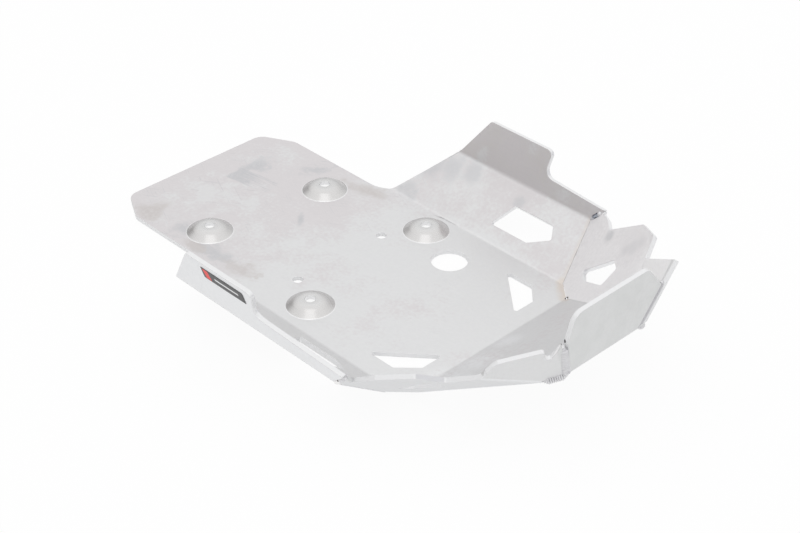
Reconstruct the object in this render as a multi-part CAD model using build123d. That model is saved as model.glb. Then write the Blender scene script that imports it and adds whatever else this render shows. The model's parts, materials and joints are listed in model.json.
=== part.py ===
from build123d import *
import os
from math import cos, radians, sin, tan

# Skid plate of a motorcycle: one laser-cut aluminium blank, folded into a shallow tray and welded
# where the folded panels meet, with four pressed dishes for the bolts and a label on one flange.
# +X is the front, +Y the left side, +Z up. The origin lies on the underside, on the centre line,
# level with the two small holes. The panels' own sizes are taken on the upper face of the sheet.

# Sheet and folds
SHEET = 4.0
BEND_RADIUS = 6.0
SEAM_GAP = 0.25
RELIEF_HOLE = 3.0
SIDE_BEAD_RADIUS = 2.0
FRONT_BEAD_RADIUS = 2.9
INNER_BEAD_RADIUS = 2.3
ROOT_BEAD_RADIUS = 2.2
# Place of a bead's centre between a seam's inner edge (0) and the sharp outer corner (1)
SIDE_BEAD_SEAT = 0.62
RAMP_BEAD_SEAT = 0.7
NOSE_BEAD_SEAT = 0.35
# The left nose bead's centre: depth below the wall's inner face, place between wall (0) and cheek (1)
ROOT_BEAD_DEPTH = 0.9
ROOT_BEAD_SHARE = 0.4

# Floor and tail
TAIL_LENGTH = 200.5
TAIL_HALF_WIDTH = 91.0
TAIL_CHAMFER_LENGTH = 31.5
TAIL_CHAMFER_WIDTH = 16.6
TAIL_CORNER_RADIUS = 12.0
FLOOR_HALF_WIDTH = 98.0
RAMP_START = 170.3
RAMP_HALF_WIDTH_LEFT = 84.2
RAMP_HALF_WIDTH_RIGHT = 79.5

# Side panels, folded up from the floor, and the steep flanges on their outer edges
SIDE_TILT = 35.5
SIDE_WIDTH = 59.2
INNER_CORNER_RADIUS = 30.0
STEP_LEFT = -53.0
STEP_RIGHT = -71.0
FLANGE_TILT = 77.9
FLANGE_HEIGHT = 39.5
FLANGE_LOW_REAR = 16.0
FLANGE_LOW_FRONT = 12.0
FLANGE_CORNER_RADIUS = 5.0
NOTCH_RADIUS = 8.0
NOTCH_SLANT = 4.0
FLANGE_BASE_LEFT = -11.4
FLANGE_BASE_RIGHT = -33.0
FLANGE_TOP_REAR_LEFT = 17.6
FLANGE_TOP_REAR_RIGHT = -6.5
FLANGE_TOP_FRONT_LEFT = 88.0
FLANGE_TOP_FRONT_RIGHT = 71.0
FLANGE_END_LEFT = 140.0
FLANGE_END_RIGHT = 151.5

# Ramp, nose wall, and the corner and cheek panels between them and the sides
RAMP_TILT = 27.4
CORNER_FOLD_ANGLE_LEFT = 17.4
CORNER_FOLD_ANGLE_RIGHT = 14.9
CORNER_FOLD_END_LEFT = 253.0
CORNER_FOLD_END_RIGHT = 265.2
NOSE_FOLD = 276.0
NOSE_FOLD_HALF_WIDTH_LEFT = 40.0
NOSE_FOLD_HALF_WIDTH_RIGHT = 41.5
NOSE_LEAN = 4.0
NOSE_HEIGHT = 53.5
NOSE_SHOULDER_HEIGHT_LEFT = 31.0
NOSE_SHOULDER_HEIGHT_RIGHT = 30.5
NOSE_SHOULDER_HALF_WIDTH_LEFT = 60.7
NOSE_SHOULDER_HALF_WIDTH_RIGHT = 49.2
NOSE_TOP_HALF_WIDTH_LEFT = 36.0
NOSE_TOP_HALF_WIDTH_RIGHT = 42.3
NOSE_CORNER_RADIUS_LEFT = 7.0
NOSE_CORNER_RADIUS_RIGHT = 9.5
OUTLINE_RADIUS = 2.0
# The nose wall's edges stop short of the cheeks. The left cheek runs on past the wall's inner face,
# the right cheek stops short of it.
NOSE_GAP_LEFT = 5.8
NOSE_GAP_RIGHT = 1.6
CHEEK_LAP_LEFT = 3.3
CHEEK_GAP_RIGHT = 0.8

# Upper outlines of the corner panels: distance along the ramp fold from its rear end, height above it
CORNER_TOP_LEFT = [(-13.0, 78.5), (-1.0, 73.0), (9.0, 65.0), (53.0, 73.3), (77.3, 64.5), (76.6, 44.6)]
CORNER_TOP_RIGHT = [(-10.0, 79.0), (-7.6, 71.0), (19.5, 75.9), (48.3, 65.9), (52.8, 36.9), (93.3, 38.5)]
# Upper outline of the right cheek panel: distance along the short front seam, height above it.
# The left one is straight. Both end at the nose wall, at these heights on it.
CHEEK_TOP_RIGHT = [(-28.9, 30.7), (-24.1, 32.8), (9.0, 29.8), (8.3, 22.5), (11.5, 20.8)]
CHEEK_END_HEIGHT_LEFT = 44.8
CHEEK_END_HEIGHT_RIGHT = 30.3

# Openings cut in the blank
CUTOUT_RADIUS = 2.0
FLOOR_CUTOUT = [(110.3, 78.2), (138.2, 78.2), (154.0, 62.4), (154.0, 40.3)]
SIDE_CUTOUT = [(0.0, 15.5), (11.0, 39.0), (53.5, 39.0), (60.3, 27.3), (41.5, 15.5)]
SIDE_CUTOUT_START_LEFT = 60.0
SIDE_CUTOUT_START_RIGHT = 70.0
CORNER_CUTOUT = [(0.0, 26.1), (37.2, 39.5), (46.3, 32.8), (36.9, 16.9), (8.5, 17.8)]
CORNER_CUTOUT_START_LEFT = 1.6
CORNER_CUTOUT_START_RIGHT = -1.4
DRAIN_HOLE = 31.0
DRAIN_CENTRE = (66.6, 55.4)
SMALL_HOLE = 9.0
SMALL_HOLE_SPACING = 94.0
SMALL_HOLE_OFFSET = -6.5

# Pressed dishes that stand up into the tray and sink the bolt heads
DISH_BASE = 40.0
DISH_TOP = 23.0
DISH_HEIGHT = 6.2
DISH_SHOULDER_RADIUS = 14.0
DISH_FOOT_RADIUS = 1.0
BOLT_HOLE = 9.0
DISH_CENTRES = [(-87.7, 54.8), (-106.2, -59.7), (21.1, 73.2), (33.9, -69.5)]

# Label on the outer face of the right flange
LABEL_LENGTH = 51.0
LABEL_HEIGHT = 9.5
LABEL_SLANT = 2.0
LABEL_CORNER_RADIUS = 2.0
LABEL_THICKNESS = 0.3
LABEL_CENTRE = (36.4, 30.3)

LEFT, RIGHT = 1, -1
SIDES = (LEFT, RIGHT)
REACH = 2 * (TAIL_LENGTH + NOSE_FOLD)
# A panel's outline takes in this much of the sheet on each side of its face and past its folds.
SLAB = SHEET + BEND_RADIUS
FOLD_LAP = 3.0


def pick(side, left, right):
    return left if side == LEFT else right


def meet(first, second, third):
    """Point where three planes cross."""
    a, b, c = first.z_dir, second.z_dir, third.z_dir
    weighted = b.cross(c) * a.dot(first.origin)
    weighted += c.cross(a) * b.dot(second.origin)
    weighted += a.cross(b) * c.dot(third.origin)
    return weighted / a.dot(b.cross(c))


def plane_through(start, along, third):
    """Plane with its x axis from start to along, facing up."""
    x_dir = along - start
    normal = x_dir.cross(third - start)
    return Plane(origin=start, x_dir=x_dir, z_dir=normal if normal.Z > 0 else -normal)


def outline(points):
    """Flat face from (x, y, corner radius) points."""
    face = Polygon(*[(x, y) for x, y, radius in points], align=None)
    for x, y, radius in points:
        if radius > 0:
            face = fillet(face.vertices().sort_by_distance((x, y, 0))[0], radius)
    return face


def slab(plane, points, depth=SLAB):
    return extrude(plane * outline(points), amount=depth, both=True)


# Upper face of each panel as a plane whose z axis points into the tray
floor = Plane(origin=(0, 0, SHEET))
ramp = Plane(
    origin=(RAMP_START, 0, SHEET),
    x_dir=(cos(radians(RAMP_TILT)), 0, sin(radians(RAMP_TILT))),
    z_dir=(-sin(radians(RAMP_TILT)), 0, cos(radians(RAMP_TILT))),
)


def ramp_height(x):
    return SHEET + (x - RAMP_START) * tan(radians(RAMP_TILT))


nose = Plane(
    origin=(NOSE_FOLD, 0, ramp_height(NOSE_FOLD)),
    x_dir=(0, -1, 0),
    z_dir=(-cos(radians(NOSE_LEAN)), 0, sin(radians(NOSE_LEAN))),
)
flange_fold_y = FLOOR_HALF_WIDTH + SIDE_WIDTH * cos(radians(SIDE_TILT))
flange_fold_z = SHEET + SIDE_WIDTH * sin(radians(SIDE_TILT))


def side_plane(side):
    normal = (0, -side * sin(radians(SIDE_TILT)), cos(radians(SIDE_TILT)))
    return Plane(origin=(0, side * FLOOR_HALF_WIDTH, SHEET), x_dir=(1, 0, 0), z_dir=normal)


def flange_plane(side):
    normal = (0, -side * sin(radians(FLANGE_TILT)), cos(radians(FLANGE_TILT)))
    return Plane(origin=(0, side * flange_fold_y, flange_fold_z), x_dir=(1, 0, 0), z_dir=normal)


def corner_fold_start(side):
    return Vector(RAMP_START, side * pick(side, RAMP_HALF_WIDTH_LEFT, RAMP_HALF_WIDTH_RIGHT), SHEET)


def corner_fold_end(side):
    angle = pick(side, CORNER_FOLD_ANGLE_LEFT, CORNER_FOLD_ANGLE_RIGHT)
    run = pick(side, CORNER_FOLD_END_LEFT, CORNER_FOLD_END_RIGHT) - RAMP_START
    inward, rise = run * tan(radians(angle)), run * tan(radians(RAMP_TILT))
    return corner_fold_start(side) + Vector(run, -side * inward, rise)


def corner_plane(side):
    flange_end_x = pick(side, FLANGE_END_LEFT, FLANGE_END_RIGHT)
    flange_end = Vector(flange_end_x, side * flange_fold_y, flange_fold_z)
    return plane_through(corner_fold_start(side), corner_fold_end(side), flange_end)


def shoulder_height(side):
    return pick(side, NOSE_SHOULDER_HEIGHT_LEFT, NOSE_SHOULDER_HEIGHT_RIGHT)


def cheek_line(side, height, gap=0):
    """Where the cheek crosses the nose wall's inner face, as (x, y) on the wall, with x to the right."""
    foot = pick(side, NOSE_FOLD_HALF_WIDTH_LEFT, NOSE_FOLD_HALF_WIDTH_RIGHT)
    shoulder = pick(side, NOSE_SHOULDER_HALF_WIDTH_LEFT, NOSE_SHOULDER_HALF_WIDTH_RIGHT)
    half_width = foot + (shoulder - foot) * height / shoulder_height(side)
    return -side * (half_width - gap), height


def nose_edge(side, height):
    return cheek_line(side, height, pick(side, NOSE_GAP_LEFT, NOSE_GAP_RIGHT))


def cheek_plane(side):
    foot = nose.from_local_coords(Vector(*cheek_line(side, 0), 0))
    shoulder = nose.from_local_coords(Vector(*cheek_line(side, shoulder_height(side)), 0))
    return plane_through(corner_fold_end(side), foot, shoulder)


sides = {s: side_plane(s) for s in SIDES}
flanges = {s: flange_plane(s) for s in SIDES}
corners = {s: corner_plane(s) for s in SIDES}
cheeks = {s: cheek_plane(s) for s in SIDES}
panels = [floor, ramp, nose]
folds = [(floor, ramp), (ramp, nose)]
for s in SIDES:
    panels += [sides[s], flanges[s], corners[s], cheeks[s]]
    folds += [(floor, sides[s]), (sides[s], flanges[s]), (ramp, corners[s]), (corners[s], cheeks[s])]


def fold_space(first, second, radius):
    """Space on the inner side of two panels, rounded along their fold."""
    first_normal, second_normal = first.z_dir, second.z_dir
    along = first_normal.cross(second_normal)
    section = Plane(origin=meet(first, second, Plane(origin=(0, 0, 0), z_dir=along)), z_dir=along)
    inward = (first_normal + second_normal).normalized() * 2
    first_way = (second_normal - first_normal * first_normal.dot(second_normal)).normalized()
    second_way = (first_normal - second_normal * first_normal.dot(second_normal)).normalized()
    points = [(0, 0, radius)]
    for way in (first_way, inward, second_way):
        point = section.to_local_coords(section.origin + way * REACH)
        points.append((point.X, point.Y, 0))
    return extrude(section * outline(points), amount=REACH, both=True)


def tray_block(depth, radius):
    """Space bounded by all the panels, moved outwards by depth, with rounded folds."""
    spaces = [fold_space(first.offset(-depth), second.offset(-depth), radius) for first, second in folds]
    block = spaces[0]
    for space in spaces[1:]:
        block &= space
    return block


tray = tray_block(SHEET, BEND_RADIUS + SHEET) - tray_block(0, BEND_RADIUS)


# Outlines of the blank, panel by panel
def floor_half(side):
    """Corners of the floor, tail and side panel on one side, from the rear, as (x, y, radius)."""
    step = pick(side, STEP_LEFT, STEP_RIGHT)
    base = pick(side, FLANGE_BASE_LEFT, FLANGE_BASE_RIGHT)
    run = (base - step) / (flange_fold_y - TAIL_HALF_WIDTH)
    past_fold = flange_fold_y + FOLD_LAP
    return [
        (-TAIL_LENGTH, side * (TAIL_HALF_WIDTH - TAIL_CHAMFER_WIDTH), TAIL_CORNER_RADIUS),
        (-TAIL_LENGTH + TAIL_CHAMFER_LENGTH, side * TAIL_HALF_WIDTH, TAIL_CORNER_RADIUS),
        (step, side * TAIL_HALF_WIDTH, INNER_CORNER_RADIUS),
        (base + run * FOLD_LAP, side * past_fold, 0),
        (RAMP_START + FOLD_LAP, side * past_fold, 0),
    ]


floor_outline = floor_half(LEFT) + floor_half(RIGHT)[::-1]
floor_top = flange_fold_z + FOLD_LAP / 2
blank = extrude(Plane.XY.offset(-SHEET) * outline(floor_outline), amount=floor_top + SHEET, dir=(0, 0, 1))
blank += slab(
    ramp,
    [
        (-FOLD_LAP, -FLOOR_HALF_WIDTH, 0),
        (NOSE_FOLD - RAMP_START + 2 * SLAB, -FLOOR_HALF_WIDTH, 0),
        (NOSE_FOLD - RAMP_START + 2 * SLAB, FLOOR_HALF_WIDTH, 0),
        (-FOLD_LAP, FLOOR_HALF_WIDTH, 0),
    ],
    depth=SHEET + FOLD_LAP,
)
nose_outline = [
    (*nose_edge(LEFT, 0), 0),
    (*nose_edge(LEFT, shoulder_height(LEFT)), 0),
    (-NOSE_TOP_HALF_WIDTH_LEFT, NOSE_HEIGHT, NOSE_CORNER_RADIUS_LEFT),
    (NOSE_TOP_HALF_WIDTH_RIGHT, NOSE_HEIGHT, NOSE_CORNER_RADIUS_RIGHT),
    (*nose_edge(RIGHT, shoulder_height(RIGHT)), 0),
    (*nose_edge(RIGHT, 0), 0),
]
foot_left = nose_edge(LEFT, 0)[0], -FOLD_LAP, 0
foot_right = nose_edge(RIGHT, 0)[0], -FOLD_LAP, 0
blank += slab(nose.offset(-SHEET), [foot_left] + nose_outline + [foot_right], depth=SHEET)


def flange_outline(side):
    base = pick(side, FLANGE_BASE_LEFT, FLANGE_BASE_RIGHT)
    top_rear = pick(side, FLANGE_TOP_REAR_LEFT, FLANGE_TOP_REAR_RIGHT)
    top_front = pick(side, FLANGE_TOP_FRONT_LEFT, FLANGE_TOP_FRONT_RIGHT)
    end = pick(side, FLANGE_END_LEFT, FLANGE_END_RIGHT)
    run = (top_rear - base) / FLANGE_HEIGHT
    shape = [
        (base - run * FOLD_LAP, -FOLD_LAP, 0),
        (top_rear, FLANGE_HEIGHT, FLANGE_CORNER_RADIUS),
        (top_front, FLANGE_HEIGHT, FLANGE_CORNER_RADIUS),
        (top_front - NOTCH_SLANT, FLANGE_LOW_REAR, NOTCH_RADIUS),
        (end + FLANGE_LOW_FRONT, FLANGE_LOW_FRONT, 0),
        (end + FLANGE_LOW_FRONT, -FOLD_LAP, 0),
    ]
    return [(x, side * y, r) for x, y, r in shape]


def corner_outline(side):
    """Corner panel, from the flange's end round its stepped top to the cheek's fold."""
    length = (meet(ramp, corners[side], cheeks[side]) - corners[side].origin).length
    top = pick(side, CORNER_TOP_LEFT, CORNER_TOP_RIGHT)
    start, last = top[0], top[-1]
    shape = [
        (start[0] - 2 * SLAB, -FOLD_LAP, 0),
        (length + FOLD_LAP, -FOLD_LAP, 0),
        (last[0] + FOLD_LAP, last[1], 0),
    ]
    shape += [(x, y, OUTLINE_RADIUS) for x, y in top[-2::-1]]
    shape += [(start[0] - 2 * SLAB, start[1], 0)]
    return [(x, side * y, r) for x, y, r in shape]


def cheek_edge(side, height):
    """Point of the cheek's front edge, as (x, y) on the cheek, at a height on the nose wall."""
    crossing = nose.from_local_coords(Vector(*cheek_line(side, height), 0))
    crossing = cheeks[side].to_local_coords(crossing)
    return crossing.X + pick(side, CHEEK_LAP_LEFT, -CHEEK_GAP_RIGHT), side * crossing.Y


def cheek_outline(side):
    """Cheek panel, from its fold to the nose wall."""
    fold_x, fold_y = pick(side, CORNER_TOP_LEFT, CORNER_TOP_RIGHT)[-1]
    fold_top = corners[side].from_local_coords(Vector(fold_x, side * fold_y, 0))
    fold_top = cheeks[side].to_local_coords(fold_top)
    shape = [
        (-FOLD_LAP, -FOLD_LAP, 0),
        (*cheek_edge(side, -FOLD_LAP), 0),
        (*cheek_edge(side, pick(side, CHEEK_END_HEIGHT_LEFT, CHEEK_END_HEIGHT_RIGHT)), 0),
    ]
    shape += [(x, y, OUTLINE_RADIUS) for x, y in pick(side, [], CHEEK_TOP_RIGHT[::-1])]
    shape += [(fold_top.X - FOLD_LAP, side * fold_top.Y, 0)]
    return [(x, side * y, r) for x, y, r in shape]


for s in SIDES:
    blank += slab(flanges[s], flange_outline(s))
    blank += slab(corners[s], corner_outline(s))
    blank += slab(cheeks[s], cheek_outline(s))

plate = tray & blank

# Between the inner faces of the cheeks, nothing is left beside the nose wall's outline.
far_left = cheek_line(LEFT, 2 * NOSE_HEIGHT)[0]
far_right = cheek_line(RIGHT, 2 * NOSE_HEIGHT)[0]
beside_nose = [(far_left, 0, 0)] + nose_outline + [(far_right, 0, 0)]
beside_nose += [(far_right, 2 * NOSE_HEIGHT, 0), (far_left, 2 * NOSE_HEIGHT, 0)]
nose_cut = slab(nose, beside_nose)
for s in SIDES:
    nose_cut = split(nose_cut, bisect_by=cheeks[s], keep=Keep.TOP)
plate -= nose_cut

# The left cheek runs on past the nose wall's outer face and ends in a cut edge along it.
cheek_tip = extrude(cheeks[LEFT] * outline(cheek_outline(LEFT)), amount=SHEET, dir=-cheeks[LEFT].z_dir)
cheek_tip = split(cheek_tip, bisect_by=nose.offset(SLAB), keep=Keep.BOTTOM)
plate += split(cheek_tip, bisect_by=ramp, keep=Keep.TOP)
cheek_end = [(*cheek_edge(LEFT, height), 0) for height in (-SLAB, NOSE_HEIGHT)]
cheek_end += [(x + SLAB, y, 0) for x, y, radius in cheek_end[::-1]]
plate -= extrude(cheeks[LEFT] * outline(cheek_end), amount=SLAB, dir=-cheeks[LEFT].z_dir)

# Openings
through = 2 * SHEET
for s in SIDES:
    plate -= slab(floor, [(x, s * y, CUTOUT_RADIUS) for x, y in FLOOR_CUTOUT], through)
    start = pick(s, SIDE_CUTOUT_START_LEFT, SIDE_CUTOUT_START_RIGHT)
    plate -= slab(sides[s], [(x + start, s * y, CUTOUT_RADIUS) for x, y in SIDE_CUTOUT], through)
    start = pick(s, CORNER_CUTOUT_START_LEFT, CORNER_CUTOUT_START_RIGHT)
    plate -= slab(corners[s], [(x + start, s * y, CUTOUT_RADIUS) for x, y in CORNER_CUTOUT], through)
    hole_y = SMALL_HOLE_OFFSET + s * SMALL_HOLE_SPACING / 2
    plate -= Pos(0, hole_y, SHEET) * Cylinder(SMALL_HOLE / 2, 2 * through)
plate -= Pos(*DRAIN_CENTRE, SHEET) * Cylinder(DRAIN_HOLE / 2, 2 * through)

# Dishes: the sheet keeps its thickness where it is pressed up
slope = Vector(DISH_BASE / 2 - DISH_TOP / 2, DISH_HEIGHT, 0).get_angle(Vector(1, 0, 0))
inset = SHEET * tan(radians(slope / 2))
# The round shoulder is at most as wide as the rim that it leaves flat around the bolt hole.
dish_rim = DISH_TOP / 2 - BOLT_HOLE / 2 - DISH_FOOT_RADIUS
dish_shoulder = min(DISH_SHOULDER_RADIUS, dish_rim / tan(radians(slope / 2)))
dish_profile = outline(
    [
        (BOLT_HOLE / 2, SHEET + DISH_HEIGHT, 0),
        (DISH_TOP / 2, SHEET + DISH_HEIGHT, dish_shoulder),
        (DISH_BASE / 2, SHEET, DISH_FOOT_RADIUS),
        (DISH_BASE / 2 + SHEET, SHEET, 0),
        (DISH_BASE / 2 + SHEET, 0, 0),
        (DISH_BASE / 2 - inset, 0, DISH_FOOT_RADIUS),
        (DISH_TOP / 2 - inset, DISH_HEIGHT, max(dish_shoulder - SHEET, DISH_FOOT_RADIUS)),
        (BOLT_HOLE / 2, DISH_HEIGHT, 0),
    ]
)
dish = revolve(Plane.XZ * dish_profile, Axis.Z)
for x, y in DISH_CENTRES:
    plate -= Pos(x, y, SHEET) * Cylinder(DISH_BASE / 2 + SHEET, 2 * through)
    plate += Pos(x, y, 0) * dish

# Seams: the cut edges of two panels meet at their inner corners and leave a groove that opens outwards
outer = {id(panel): panel.offset(-SHEET) for panel in panels}


def seam_groove(first, second, ends, first_gap=SEAM_GAP / 2, second_gap=SEAM_GAP / 2):
    """Space between two panels' cut edges, each a gap away from the line where their inner faces cross."""
    start, end = [meet(first, second, stop) for stop in ends]
    inward = (first.z_dir + second.z_dir).normalized() * SHEET
    across = (first.z_dir - second.z_dir).normalized()
    first_edge, second_edge = start - across * first_gap, start + across * second_gap
    section = [first_edge + inward, first_edge, first_edge - first.z_dir * SLAB]
    section += [second_edge - second.z_dir * SLAB, second_edge, second_edge + inward]
    return extrude(make_face(Polyline(*section, close=True)), amount=(end - start).length, dir=end - start)


def bead_point(first, second, stop, seat):
    inner_corner = meet(first, second, stop)
    outer_corner = meet(outer[id(first)], outer[id(second)], outer.get(id(stop), stop))
    return inner_corner + (outer_corner - inner_corner) * seat


def run_out(start, end, radius):
    """Tapered end of a bead, beyond its end point."""
    taper = Cone(radius, radius / 2, radius / 2, align=(Align.CENTER, Align.CENTER, Align.MIN))
    return Plane(origin=end, z_dir=end - start) * taper


def bead(path, radius):
    """Round bead along a bent line."""
    section = Plane(origin=path[0], z_dir=path[1] - path[0]) * Circle(radius)
    body = sweep(section, Polyline(*path), transition=Transition.RIGHT)
    return body + run_out(path[1], path[0], radius) + run_out(path[-2], path[-1], radius)


def root_point(height):
    """Centre of the bead between the nose wall's left edge and the cheek."""
    x, y = cheek_line(LEFT, height, NOSE_GAP_LEFT * (1 - ROOT_BEAD_SHARE))
    return nose.from_local_coords(Vector(x, y, -ROOT_BEAD_DEPTH))


def ground(body):
    """Bead as it lies in its groove, flush with the underside."""
    return split(body - plate, bisect_by=Plane.XY, keep=Keep.TOP)


side_beads, front_beads = {}, {}
for s in SIDES:
    flange_seam_top = flange_fold_z + FLANGE_LOW_FRONT * sin(radians(FLANGE_TILT))
    bead_top = Plane(origin=(0, 0, flange_seam_top - SIDE_BEAD_RADIUS))
    groove_top = Plane(origin=(0, 0, flange_seam_top + SLAB))
    shoulder = Plane(origin=nose.from_local_coords(Vector(0, shoulder_height(s), 0)))
    below_relief = shoulder_height(s) - RELIEF_HOLE - FRONT_BEAD_RADIUS / 2
    nose_bead_top = Plane(origin=nose.from_local_coords(Vector(0, below_relief, 0)))
    nose_top_level = Plane(origin=nose.from_local_coords(Vector(0, NOSE_HEIGHT, 0)))
    side_path = [
        bead_point(sides[s], corners[s], floor, SIDE_BEAD_SEAT),
        bead_point(sides[s], corners[s], flanges[s], SIDE_BEAD_SEAT),
        bead_point(flanges[s], corners[s], bead_top, SIDE_BEAD_SEAT),
    ]
    ramp_path = [bead_point(ramp, cheeks[s], stop, RAMP_BEAD_SEAT) for stop in (corners[s], nose)]
    inner_path = [meet(flanges[s], corners[s], stop) for stop in (sides[s], bead_top)]
    side_beads[s] = bead(side_path, SIDE_BEAD_RADIUS) + bead(inner_path, INNER_BEAD_RADIUS)
    if s == RIGHT:
        ramp_path.append(bead_point(cheeks[s], nose, nose_bead_top, NOSE_BEAD_SEAT))
        front_beads[s] = bead(ramp_path, FRONT_BEAD_RADIUS)
        plate -= seam_groove(cheeks[s], nose, (ramp, nose_top_level), CHEEK_GAP_RIGHT, NOSE_GAP_RIGHT)
        weld_end = Plane(origin=meet(cheeks[s], nose, shoulder), z_dir=cheeks[s].z_dir)
        plate -= weld_end * Cylinder(RELIEF_HOLE / 2, 2 * through)
    else:
        root_path = [root_point(height) for height in (0, shoulder_height(s) - ROOT_BEAD_RADIUS)]
        front_beads[s] = bead(ramp_path, FRONT_BEAD_RADIUS) + bead(root_path, ROOT_BEAD_RADIUS)
    plate -= seam_groove(floor, corners[s], (ramp, sides[s]))
    plate -= seam_groove(sides[s], corners[s], (floor, flanges[s]))
    plate -= seam_groove(flanges[s], corners[s], (sides[s], groove_top))
    plate -= seam_groove(ramp, cheeks[s], (corners[s], nose))
    plate -= Pos(meet(floor, ramp, corners[s])) * Cylinder(RELIEF_HOLE / 2, 2 * through)

# Label
label_plane = flanges[RIGHT].offset(-SHEET)
label_half, label_rise = LABEL_LENGTH / 2, LABEL_HEIGHT / 2
label_x, label_y = LABEL_CENTRE
label_shape = [
    (label_x - label_half, label_y + label_rise, 0),
    (label_x + label_half - LABEL_SLANT, label_y + label_rise, LABEL_CORNER_RADIUS),
    (label_x + label_half, label_y - label_rise, 0),
    (label_x - label_half + LABEL_SLANT, label_y - label_rise, LABEL_CORNER_RADIUS),
]
label_face = label_plane * outline([(x, RIGHT * y, r) for x, y, r in label_shape])
label = extrude(label_face, amount=LABEL_THICKNESS, dir=-label_plane.z_dir)

nodes = {"skid_plate": plate, "label": label}
for s, name in ((LEFT, "left"), (RIGHT, "right")):
    nodes["side_weld_" + name] = ground(side_beads[s])
    nodes["front_weld_" + name] = ground(front_beads[s])

os.makedirs("parts", exist_ok=True)
for name, shape in nodes.items():
    export_step(shape, os.path.join("parts", name + ".step"))
    print(name, len(shape.solids()), round(shape.volume, 1))
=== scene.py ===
import json
import math

import bmesh
import bpy
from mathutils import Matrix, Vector
from mathutils.bvhtree import BVHTree


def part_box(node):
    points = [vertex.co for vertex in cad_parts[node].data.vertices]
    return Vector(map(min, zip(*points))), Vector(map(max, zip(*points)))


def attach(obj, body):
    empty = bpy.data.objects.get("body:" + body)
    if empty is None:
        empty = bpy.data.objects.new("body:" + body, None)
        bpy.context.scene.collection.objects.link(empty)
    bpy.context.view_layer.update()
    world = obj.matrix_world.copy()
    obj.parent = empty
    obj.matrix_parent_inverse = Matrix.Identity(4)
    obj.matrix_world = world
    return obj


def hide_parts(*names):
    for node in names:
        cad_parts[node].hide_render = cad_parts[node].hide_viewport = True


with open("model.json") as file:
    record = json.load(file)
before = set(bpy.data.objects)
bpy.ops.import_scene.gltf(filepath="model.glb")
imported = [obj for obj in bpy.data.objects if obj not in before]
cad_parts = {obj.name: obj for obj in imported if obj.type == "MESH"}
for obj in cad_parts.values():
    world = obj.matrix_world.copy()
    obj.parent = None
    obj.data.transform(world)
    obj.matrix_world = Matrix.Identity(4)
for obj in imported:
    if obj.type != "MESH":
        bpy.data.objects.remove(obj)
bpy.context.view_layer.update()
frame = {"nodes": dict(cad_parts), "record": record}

# The folded plate. One blank of 4 mm aluminium sheet, laser-cut, with four dishes pressed up for the
# bolts, then folded into a tray. The skin keeps its dull rolled finish, rubbed and stained by handling,
# the dishes are polished by the press tool, and the laser has left bright, finely ribbed edges.
MM = 0.001
SHEET = 4 * MM
EDGE_ROUND = 0.35 * MM
SHARP_TURN = math.radians(35)
FLAT_TURN = math.radians(0.05)
BOLTS = [m["pos_m"] for m in frame["record"]["mounts"] if m["name"].startswith("bolt_")]
DISH_RADIUS = 20 * MM
# Form of a dish's upper face: a flat top, a round shoulder, a straight slope and a small foot
BOLT_RIM = 5.2 * MM
SHOULDER_START = 6.94 * MM
SHOULDER_RADIUS = 14 * MM
DISH_SLOPE = math.radians(36.1)
FOOT_END = 20.33 * MM
FOOT_RADIUS = 1 * MM

CLEAN_SKIN = (0.770, 0.772, 0.775, 1)
PINK_STAIN = (0.742, 0.716, 0.723, 1)
GREY_RUB = (0.630, 0.630, 0.645, 1)
BROWN_RUB = (0.655, 0.625, 0.615, 1)
# Darker nose panel: grey mottling and painted shade
NOSE_GREY_AND_SHADE = (0.715, 0.723, 0.720, 1)
# Painted light on the corners' inner faces, lighter still on the cheeks at the front
CORNER_PAINTED_LIGHT = (0.900, 0.884, 0.892, 1)
CHEEK_PAINTED_LIGHT = (0.990, 0.982, 0.985, 1)
# A brown tint with painted shade on the flanges' inner faces
FLANGE_BROWN_AND_SHADE = (0.715, 0.693, 0.684, 1)
# Painted light on the right side's inner face
SIDE_PAINTED_LIGHT = (0.790, 0.790, 0.792, 1)
# Painted light on the outer faces of flanges and corners, and on places on the ramp
PAINTED_LIGHT_SKIN = (0.860, 0.865, 0.875, 1)
DISH_METAL = (0.680, 0.678, 0.676, 1)
DISH_SLOPE_METAL = (0.640, 0.631, 0.626, 1)
# Painted highlight on the foot of each dish
FOOT_PAINTED_HIGHLIGHT = (0.850, 0.850, 0.855, 1)
HEAT_TAN = (0.700, 0.600, 0.510, 1)
CUT_METAL = (0.860, 0.862, 0.870, 1)
# Painted shade on the steep edge of the right corner
CUT_PAINTED_SHADE = (0.730, 0.730, 0.750, 1)
# Painted shade along the root of the left front weld
ROOT_PAINTED_SHADE = (0.620, 0.615, 0.635, 1)
# Painted shade in the relief holes
RELIEF_PAINTED_SHADE = (0.060, 0.060, 0.065, 1)

# Rubbed and wiped places on the upper face: centre, half length and half width in mm, turn in degrees
SCUFFED_PATCH = ((-143.8, 19.5), (22.5, 9.7), 9)
CLEAN_PATCH = ((-146, -18), (40, 24), 20)
GREY_RUBS = [
    ((-160, 41), (15, 9), 60),
    ((-119, 70), (7, 18), -25),
    ((-122, -78), (9, 13), 0),
    ((-78, -79), (22, 9), 10),
    ((-66, 7), (3, 9), 40),
    ((-35, 104), (21, 7), -4),
]
BROWN_RUBS = [
    ((-164, -77), (14, 15), 60),
    ((-44, -79), (17, 9), 10),
    ((-58, 82), (24, 10), 15),
    ((-100, -84), (16, 6), 0),
]
PATCH_LEVEL = 1.4 * SHEET
PATCH_HALF_HEIGHT = 1.5 * SHEET
SCRATCH_TURNS = (24, -33)
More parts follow.
